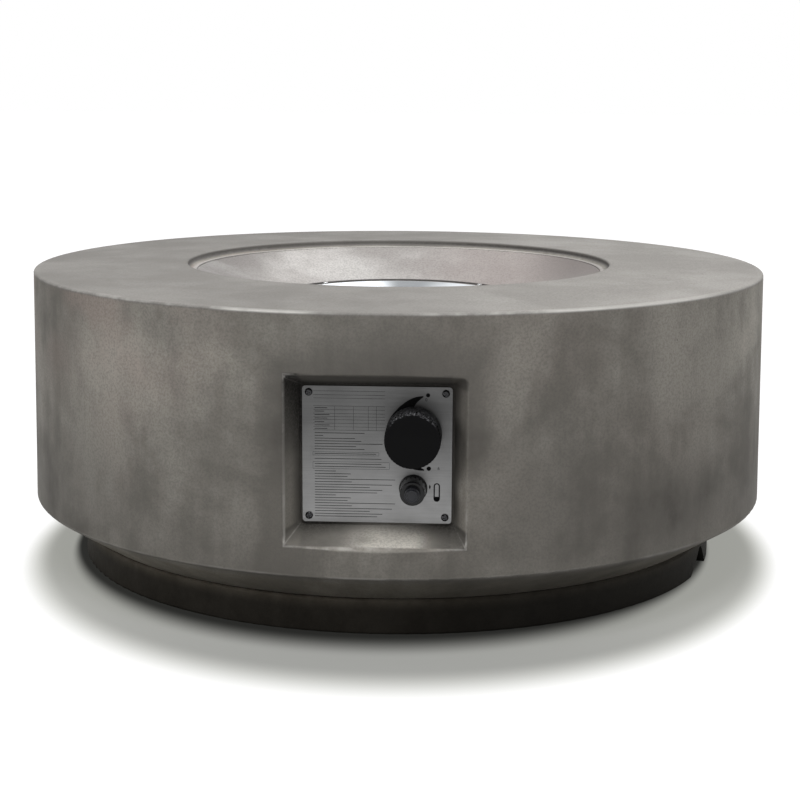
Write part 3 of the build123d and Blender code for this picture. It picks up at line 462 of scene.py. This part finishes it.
def knob_plastic():
    """Dull black plastic with painted highlights: pale glints on the upper ribs."""
    t = Material("knob_plastic")
    x, _, z = t.axes()
    up = t.minus(z, KNOB_Z)
    ribs = t.ramp(t.length(t.minus(x, KNOB_X), up), 0.0238, 0.0250)
    # Painted highlight: pale flecks on the upper ribs only
    scuff_and_glint = t.product(ribs, t.ramp(up, 0.012, 0.019), t.ramp(t.noise(620.0, 3.0, 0.7), 0.50, 0.64))
    tint = t.mix(t.product(scuff_and_glint, 0.85), (0.004, 0.004, 0.0043), (0.20, 0.20, 0.21))
    t.bump(t.noise(1500.0, 2.0, 0.6), 0.05, 0.0003)
    return t.finish(tint, t.ramp(t.noise(60.0, 3.0, 0.5), 0.3, 0.7, 0.41, 0.53), specular=0.07)


def printed_ink():
    t = Material("printed_ink")
    black, worn_black = (0.004, 0.004, 0.0042), (0.010, 0.010, 0.0104)
    return t.finish(t.mix(t.ramp(t.noise(500.0, 3.0), 0.4, 0.7), black, worn_black), 0.6, specular=0.05)


looks = {
    "concrete": concrete(),
    "plinth": dark_concrete("plinth_concrete", (0.140, 0.120, 0.092), (0.250, 0.220, 0.176)),
    "bed": dark_concrete("mortar", (0.020, 0.018, 0.016), (0.045, 0.040, 0.036)),
    "plate": brushed_steel("plate_steel", (0.280, 0.280, 0.279), 0.40, (30, 900, 1400),
                           shade_heights=(PLATE_Z - 0.068, PLATE_Z + 0.055)),
    "pan": brushed_steel("pan_steel", (0.78, 0.82, 0.86), 0.05, (60, 60, 300), 0.012, 0.02),
    "burner": brushed_steel("burner_steel", (0.62, 0.62, 0.62), 0.3, (300, 300, 300)),
    "screw": turned_metal("screw_steel", (0.045, 0.045, 0.047), 0.22, stain=(0.014, 0.0135, 0.013)),
    "brass": turned_metal("valve_brass", (0.72, 0.50, 0.20), 0.3, stain=(0.40, 0.26, 0.10)),
    "iron": turned_metal("mixer_iron", (0.16, 0.16, 0.165), 0.6, stain=(0.08, 0.07, 0.06)),
    "tube": turned_metal("tube_aluminium", (0.70, 0.70, 0.71), 0.3, stain=(0.5, 0.5, 0.5)),
    "knob": knob_plastic(),
    "igniter": moulded_plastic("igniter_plastic", (0.004, 0.004, 0.0045), 0.22, specular=0.30),
    "button": moulded_plastic("button_plastic", (0.020, 0.0205, 0.025), 0.3, specular=0.35),
    "rubber": moulded_plastic("seal_rubber", (0.014, 0.014, 0.014), 0.75, 900.0, 0.2),
    "ceramic": moulded_plastic("glazed_ceramic", (0.72, 0.70, 0.65), 0.3),
    "cell": turned_metal("cell_wrap", (0.10, 0.11, 0.12), 0.35, 0.2),
}
worn_by = {
    "concrete": ("drum_casting", "fire_bowl"),
    "plinth": ("plinth_ring",),
    "bed": ("mortar_bed",),
    "plate": ("control_plate",),
    "pan": ("burner_pan",),
    "burner": ("burner_ring", "burner_nipple", "pan_screws", "inlet_bracket", "electrode_bracket",
               "thermocouple"),
    "screw": ("plate_screws", "valve_screws", "bracket_screws", "inlet_screws", "plinth_bolts",
              "plinth_washers", "plinth_inserts", "valve_spring", "igniter_spring", "knob_clip", "push_rod",
              "valve_stem", "burner_lock_nut", "safety_magnet", "spark_wire"),
    "brass": ("plate_inserts", "valve_body", "valve_plug", "valve_bonnet", "magnet_nut", "injector",
              "inlet_fitting", "inlet_lock_nut", "flare_nuts"),
    "iron": ("air_mixer",),
    "tube": ("burner_tube", "supply_tube", "thermocouple_lead"),
    "knob": ("control_knob",),
    "igniter": ("igniter_body", "igniter_nut", "igniter_cap"),
    "button": ("igniter_button",),
    "rubber": ("plate_gasket", "spark_lead"),
    "ceramic": ("spark_ceramic",),
    "cell": ("igniter_cell",),
}
for look, wearers in worn_by.items():
    for name in wearers:
        nodes[name].data.materials.clear()
        nodes[name].data.materials.append(looks[look])


def added(name, data):
    obj = bpy.data.objects.new(name, data)
    scene.collection.objects.link(obj)
    return obj


# The springs get meshes of their own
for name, joint in (("valve_spring", "knob_push"), ("igniter_spring", "button_press")):
    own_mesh(nodes[name])

# The taper plug is shown a little slimmer and shorter, so that its facets clear the seat at every turn
PLUG_PLAY, PLUG_CORE = 0.0002, 0.0075
plug_mesh = nodes["valve_plug"].data.copy()
plug_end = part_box("valve_plug")[1].y
for vert in plug_mesh.vertices:
    outward = Vector((vert.co.x - KNOB_X, 0.0, vert.co.z - KNOB_Z))
    if outward.length > PLUG_CORE:
        vert.co -= outward.normalized() * PLUG_PLAY
    if vert.co.y > plug_end - PLUG_PLAY:
        vert.co.y -= PLUG_PLAY
taper_plug = added("taper_plug", plug_mesh)
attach(taper_plug, "plug")
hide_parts("valve_plug")


# Printed marks on the control plate

INK_GAP, INK_LIFT = 0.00001, 0.00006
ink = printed_ink()


def printed(name, mesh):
    mesh.materials.clear()
    mesh.materials.append(ink)
    obj = added(name, mesh)
    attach(obj, "fire_pit")


def mark(name, *outlines):
    """Thin printed shapes on the plate; an outline's points are (x, z) in the row frame."""
    mesh = bpy.data.meshes.new(name)
    work = bmesh.new()
    for outline in outlines:
        face = work.faces.new([work.verts.new((x, PLATE_Y - INK_GAP, z)) for x, z in outline])
        grown = bmesh.ops.extrude_face_region(work, geom=[face])
        for vert in [g for g in grown["geom"] if isinstance(g, bmesh.types.BMVert)]:
            vert.co.y -= INK_LIFT
    bmesh.ops.recalc_face_normals(work, faces=work.faces)
    work.to_mesh(mesh)
    work.free()
    printed(name, mesh)


def numeral(text, cx, cz, size):
    """A plain printed number, turned to face the front."""
    name = "dial_number_" + text
    curve = bpy.data.curves.new(name, "FONT")
    curve.body = text
    curve.size = size
    curve.align_x, curve.align_y = "CENTER", "CENTER"
    curve.extrude = INK_LIFT / 2
    obj = added(name, curve)
    upright = Matrix.Rotation(math.pi / 2, 4, "X")
    obj.matrix_world = Matrix.Translation((cx, PLATE_Y - INK_LIFT, cz)) @ upright
    bpy.context.view_layer.update()
    mesh = bpy.data.meshes.new_from_object(obj)
    mesh.transform(obj.matrix_world)
    bpy.data.objects.remove(obj)
    printed(name, mesh)


# The dial around the knob

DIAL_RADIUS = 0.0376
START_ANGLE, END_ANGLE = 20, 158
START_DOT_RADIUS, END_DOT_RADIUS = 0.0019, 0.0021
NUMBER_SIZE, NUMBER_DROP = 0.0042, 0.0047
END_NUMBER = (0.0580, PLATE_Z - 0.0122)
# The outer edge of the dial line and of the knob's painted shadow, as angles clockwise from the top and
# radii in mm; the knob hides most of it
SWOOSH = ((14, 35.5), (4, 33.8), (-8, 31.2), (-23, 28.4), (-39, 26.6), (-56, 26.0), (-130, 26.5),
          (-160, 31.0), (-180, 36.0), (-195, 38.2))
SWOOSH_STEPS = 80
# The swell is the knob's painted shadow on the plate
TIP_WIDTH, SHADOW_SWELL = 0.0012, 0.0105


def dial_point(degrees, radius):
    """A point on the dial, by its angle clockwise from the top."""
    a = math.radians(degrees)
    return DIAL_X + radius * math.sin(a), DIAL_Z + radius * math.cos(a)


def spot(name, cx, cz, radius, steps=28):
    turn = 2 * math.pi / steps
    mark(name, [(cx + radius * math.cos(i * turn), cz + radius * math.sin(i * turn)) for i in range(steps)])


def swoosh_radius(angle):
    """The dial line's outer radius at an angle, straight between the points of its path."""
    for (a0, r0), (a1, r1) in zip(SWOOSH, SWOOSH[1:]):
        if a1 <= angle <= a0:
            return 0.001 * (r0 + (r1 - r0) * (a0 - angle) / (a0 - a1))
    return 0.001 * SWOOSH[-1][1]


def dial_line_and_shadow():
    """A printed line that is thin at its ends and swells behind the knob into a painted shadow of the knob.
    """
    outer, inner = [], []
    first, last = SWOOSH[0][0], SWOOSH[-1][0]
    for i in range(SWOOSH_STEPS + 1):
        share = i / SWOOSH_STEPS
        angle = first + (last - first) * share
        radius = swoosh_radius(angle)
        width = TIP_WIDTH + SHADOW_SWELL * min(1.0, 10 * share, 8 * (1 - share))
        outer.append(dial_point(angle, radius))
        inner.append(dial_point(angle, radius - width))
    mark("dial_arc_and_shadow", outer + inner[::-1])


dial_line_and_shadow()
spot("dial_start_dot", *dial_point(START_ANGLE, DIAL_RADIUS), START_DOT_RADIUS)
spot("dial_end_dot", *dial_point(END_ANGLE, DIAL_RADIUS), END_DOT_RADIUS)
numeral("0", *dial_point(START_ANGLE, DIAL_RADIUS - NUMBER_DROP), NUMBER_SIZE)
numeral("6", *END_NUMBER, NUMBER_SIZE)


# The outline of a cell beside the igniter

CELL_X, CELL_Z = 0.0565, PLATE_Z - 0.0353
CELL_HALF_WIDTH, CELL_HALF_HEIGHT, CELL_LINE = 0.0030, 0.0090, 0.0012
CELL_INNER_Z, CELL_FILL_Z = CELL_Z + 0.0001, CELL_Z - 0.0042
DIAMOND_X, DIAMOND_Z = 0.0499, CELL_Z + 0.0052
DIAMOND_HALF_WIDTH, DIAMOND_HALF_HEIGHT = 0.0009, 0.0024


def capsule(cx, cz, half_width, half_height, steps=14):
    """Outline of an upright capsule, counter-clockwise from the right."""
    straight = half_height - half_width
    points = []
    for start, lift in ((0, straight), (math.pi, -straight)):
        for i in range(steps + 1):
            a = start + math.pi * i / steps
            points.append((cx + half_width * math.cos(a), cz + lift + half_width * math.sin(a)))
    return points


def cell_sign():
    """A capsule drawn in two halves, with its foot filled, and a small diamond beside it."""
    half_width = CELL_HALF_WIDTH - CELL_LINE
    outer = capsule(CELL_X, CELL_Z, CELL_HALF_WIDTH, CELL_HALF_HEIGHT)
    inner = capsule(CELL_X, CELL_INNER_Z, half_width, CELL_HALF_HEIGHT - CELL_LINE)
    half = len(outer) // 2
    top, foot = half // 2, half // 2 + half
    mark("cell_sign_left", outer[top:foot + 1] + inner[top:foot + 1][::-1])
    mark("cell_sign_right", outer[foot:] + outer[:top + 1] + (inner[foot:] + inner[:top + 1])[::-1])
    left, right = CELL_X - half_width, CELL_X + half_width
    mark("cell_sign_foot", [(left, CELL_FILL_Z), *sorted(inner[half:]), (right, CELL_FILL_Z)])
    x, z, dx, dz = DIAMOND_X, DIAMOND_Z, DIAMOND_HALF_WIDTH, DIAMOND_HALF_HEIGHT
    mark("cell_arrow", [(x, z - dz), (x + dx, z), (x, z + dz), (x - dx, z)])


cell_sign()


# A blank ruled form left of the controls; its heights are above the plate's middle

RULE = 0.00022
STROKE, STROKE_PITCH, STROKE_INDENT = 0.00050, 0.00258, 0.0012
FORM_LEFT, FORM_RIGHT, BOX_LEFT = -0.0600, 0.0073, -0.0605
FORM_TOP, FORM_FOOT = 0.0463, 0.0233
FORM_ROWS = (0.0606, 0.0569, 0.0538, FORM_TOP, 0.0428, 0.0392, 0.0362, 0.0332, 0.0298, 0.0265, FORM_FOOT)
FORM_COLUMNS = (-0.0399, -0.0223, -0.0083, -0.0007)


def oblong(left, right, low, high):
    return [(left, PLATE_Z + low), (right, PLATE_Z + low), (right, PLATE_Z + high), (left, PLATE_Z + high)]


def rule_across(left, right, lift, width=RULE):
    return oblong(left, right, lift - width / 2, lift + width / 2)


def rule_up(x, low, high):
    return oblong(x - RULE / 2, x + RULE / 2, low, high)


def frame_box(name, left, right, low, high):
    mark(name, rule_across(left, right, high), rule_across(left, right, low),
         rule_up(left, low + RULE, high - RULE), rule_up(right, low + RULE, high - RULE))


def strokes(name, top, foot, lengths, pitch=STROKE_PITCH):
    """Plain strokes at an even pitch, of lengths that come round in turn."""
    left = FORM_LEFT + STROKE_INDENT
    rows = range(int((top - foot) / pitch) + 1)
    dish_shading = [left + lengths[i % len(lengths)] for i in rows]
    mark(name, *(rule_across(left, dish_shading[i], top - i * pitch, STROKE) for i in rows))


mark("form_rows", *(rule_across(FORM_LEFT, FORM_RIGHT, lift) for lift in FORM_ROWS))
mark("form_columns", *(rule_up(x, FORM_FOOT + RULE, FORM_TOP - RULE) for x in FORM_COLUMNS))
frame_box("form_strip", BOX_LEFT, 0.0017, -0.0010, 0.0022)
frame_box("form_box", BOX_LEFT, 0.0117, -0.0139, -0.0072)
strokes("form_cells", 0.0445, FORM_FOOT + 0.0012, (0.012, 0.009, 0.014), 0.0033)
strokes("form_upper_strokes", 0.0205, 0.0050, (0.047, 0.008, 0.038, 0.044, 0.064, 0.039))
strokes("form_middle_stroke", -0.0042, -0.0042, (0.063,))
strokes("form_strip_stroke", 0.0006, 0.0006, (0.058,))
strokes("form_box_strokes", -0.0092, -0.0118, (0.063, 0.067))
strokes("form_lower_strokes", -0.0162, -0.0610,
        (0.020, 0.034, 0.031, 0.076, 0.035, 0.073, 0.052, 0.064, 0.059))


# Floor

FLOOR_SIZE = 40
# Ovals of painted shadow on the floor: centre, reach along x and y, and the share of that reach over which
# each fades
SHADOW = ((0.005, -0.004), (0.4150, 0.499), (0.100, 0.200))
CONTACT = ((-0.0066, 0.0239), (0.3651, 0.4164), (0.025, 0.156))


def floor_material():
    """A plain white floor with a painted shadow: a soft dark oval round the drum, darkest beside the
    plinth.
    """
    t = Material("studio_floor")
    x, y, _ = t.axes()
    rays = t.new("ShaderNodeLightPath").outputs
    seen = t.larger(t.larger(rays["Is Camera Ray"], rays["Is Glossy Ray"]), rays["Is Transmission Ray"])

    def beyond(centre, reach, fade):
        """Zero inside an oval and one outside it."""
        u, v = t.offset(x, centre[0], reach[0]), t.offset(y, centre[1], reach[1])
        uu, vv = t.product(u, u), t.product(v, v)
        square = t.plus(uu, vv)
        soft = t.math("DIVIDE", t.plus(t.product(uu, fade[0]), t.product(vv, fade[1])), square)
        return t.ramp(t.offset(t.math("SQRT", square), 1.0, soft), -0.5, 0.5)

    # Painted shadow: the floor glows less, and its colour is darker, inside the ovals
    plateau = beyond(*SHADOW)
    contact = t.ramp(beyond(*CONTACT), 0.0, 1.0, 0.08, 1.0, linear=True)
    grey = t.ramp(y, -0.46, -0.22, 0.20, 0.31)
    glow_with_shadow = t.product(t.plus(grey, t.product(plateau, t.minus(1.0, grey))), contact)
    t.link(t.mix(plateau, (1.0, 1.01, 0.93), (1.0, 1.0, 1.0)), t.bsdf.inputs["Emission Color"])
    t.link(t.product(seen, glow_with_shadow), t.bsdf.inputs["Emission Strength"])
    return t.finish(t.mix(contact, (0.0, 0.0, 0.0), (0.16, 0.16, 0.16)), 0.9, specular=0.0)


bpy.ops.mesh.primitive_plane_add(size=FLOOR_SIZE, location=(0, 0, 0))
floor = bpy.context.active_object
floor.name = "floor"
floor.data.materials.append(floor_material())


# Soft ambient light; mirrors also see two bright panels behind the part

AMBIENT, MIRRORED = 0.26, 0.50
RIGHT_PANEL, LEFT_PANEL = 1.5, 0.7

world = bpy.data.worlds.new("studio")
scene.world = world
world.use_nodes = True
sky = Nodes(world.node_tree)
background = world.node_tree.nodes["Background"]
rays = sky.new("ShaderNodeLightPath").outputs
toward = sky.split(sky.new("ShaderNodeTexCoord").outputs["Generated"])
panels = sky.plus(sky.ramp(toward["X"], -0.045, -0.015, 0.0, RIGHT_PANEL),
                  sky.ramp(toward["X"], -0.10, -0.065, LEFT_PANEL, 0.0))
behind = sky.product(panels, sky.ramp(toward["Y"], 0.5, 0.7))
mirror = sky.product(rays["Is Glossy Ray"], sky.plus(behind, MIRRORED - AMBIENT))
plain = sky.larger(rays["Is Camera Ray"], rays["Is Transmission Ray"])
sky.link(sky.larger(sky.plus(mirror, AMBIENT), plain), background.inputs["Strength"])
background.inputs["Color"].default_value = (1, 1, 1, 1)


# Lamps

LAMP_AIM = Vector((0, 0, 0.2))


def lamp(name, place, size, power):
    data = bpy.data.lights.new(name, "AREA")
    data.shape = "DISK"
    data.size = size
    data.energy = power
    obj = added(name, data)
    obj.location = place
    obj.rotation_euler = (LAMP_AIM - Vector(place)).to_track_quat("-Z", "Y").to_euler()


lamp("key_light", (-0.1, -0.9, 3.0), 2.2, 72)
lamp("fill_light", (-2.4, -1.8, 1.2), 1.2, 15)
lamp("right_light", (2.4, -1.4, 1.4), 1.2, 12)


# Camera at the photograph's viewing angle

CAMERA_TURN = math.radians(3.0)
CAMERA_DISTANCE = 4.754 * DRUM_RADIUS
CAMERA_HEIGHT = DECK_Z + 0.530 * DRUM_RADIUS
CAMERA_PITCH = math.radians(10.94)
CAMERA_ROLL = 0.0054

camera = bpy.data.cameras.new("camera")
camera.lens = 76.64
camera.sensor_width = 36.0
camera.shift_x = 0.0027
view = added("camera", camera)
view.matrix_world = (
    Matrix.Translation((CAMERA_DISTANCE * math.sin(CAMERA_TURN), -CAMERA_DISTANCE * math.cos(CAMERA_TURN),
                        CAMERA_HEIGHT))
    @ Matrix.Rotation(CAMERA_TURN, 4, "Z")
    @ Matrix.Rotation(math.pi / 2 - CAMERA_PITCH, 4, "X")
    @ Matrix.Rotation(CAMERA_ROLL, 4, "Z")
)
scene.camera = view
scene.view_settings.view_transform = "Standard"
